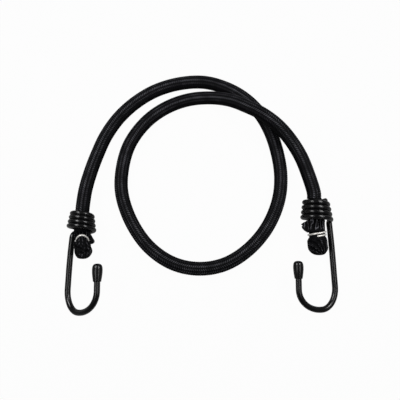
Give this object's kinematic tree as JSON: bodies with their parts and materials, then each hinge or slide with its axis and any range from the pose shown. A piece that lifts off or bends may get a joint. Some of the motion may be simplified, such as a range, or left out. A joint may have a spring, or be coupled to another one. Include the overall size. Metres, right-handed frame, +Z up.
{
  "type": "bungee cord",
  "caption": "Elastic bungee cord lying in a loop: rubber strands in a black braided sleeve, with a coiled wire hook, a crimp ring and a rubber tip cap on each folded end.",
  "frame": {"origin": "on the floor under the middle of the box round the two hooks and the folded cord ends, without the free cord", "axes": "+Z up from the floor, +X from the left hook to the right hook, +Y from the hooks towards the cord's loop"},
  "size_m": [0.1974, 0.1826, 0.0235],
  "materials": {
    "braid": "black braided polyester, matte with a soft sheen",
    "core": "natural latex rubber, matte",
    "hook": "gloss black plastic coat on steel wire",
    "cap": "satin black rubber",
    "ring": "bright galvanised steel wire"
  },
  "bodies": {
    "cord": {"cord_sleeve": "braid", "core_strand_01": "core", "core_strand_02": "core", "core_strand_03": "core", "core_strand_04": "core", "core_strand_05": "core", "core_strand_06": "core", "core_strand_07": "core", "core_strand_08": "core", "core_strand_09": "core", "core_strand_10": "core", "core_strand_11": "core", "core_strand_12": "core"},
    "left_end": {"left_cord_end": "braid", "left_crimp_ring": "ring"},
    "right_end": {"right_cord_end": "braid", "right_crimp_ring": "ring"},
    "left_hook": {"left_hook_wire": "hook", "left_hook_cap": "cap"},
    "right_hook": {"right_hook_wire": "hook", "right_hook_cap": "cap"}
  },
  "joints": [
    {"name": "left_stretch", "type": "slide", "parent": "cord", "child": "left_end", "axis": [-0.0279, -0.9996, 0], "range_m": [0, 0.06], "stiffness_N_per_m": 1900, "deforming": ["cord_sleeve", "core_strand_01", "core_strand_02", "core_strand_03", "core_strand_04", "core_strand_05", "core_strand_06", "core_strand_07", "core_strand_08", "core_strand_09", "core_strand_10", "core_strand_11", "core_strand_12"]},
    {"name": "left_swivel", "type": "hinge", "parent": "left_end", "child": "left_hook", "pos_m": [-0.08683, 0.01658, 0.01065], "axis": [-0.0279, -0.9979, -0.0593], "range_deg": [-150, 80]},
    {"name": "right_stretch", "type": "slide", "parent": "cord", "child": "right_end", "axis": [0.0175, -0.9998, 0], "range_m": [0, 0.06], "stiffness_N_per_m": 1900, "deforming": ["cord_sleeve", "core_strand_01", "core_strand_02", "core_strand_03", "core_strand_04", "core_strand_05", "core_strand_06", "core_strand_07", "core_strand_08", "core_strand_09", "core_strand_10", "core_strand_11", "core_strand_12"]},
    {"name": "right_swivel", "type": "hinge", "parent": "right_end", "child": "right_hook", "pos_m": [0.0836, 0.02618, 0.01201], "axis": [0.0174, -0.9944, -0.1045], "range_deg": [-140, 120]}
  ]
}
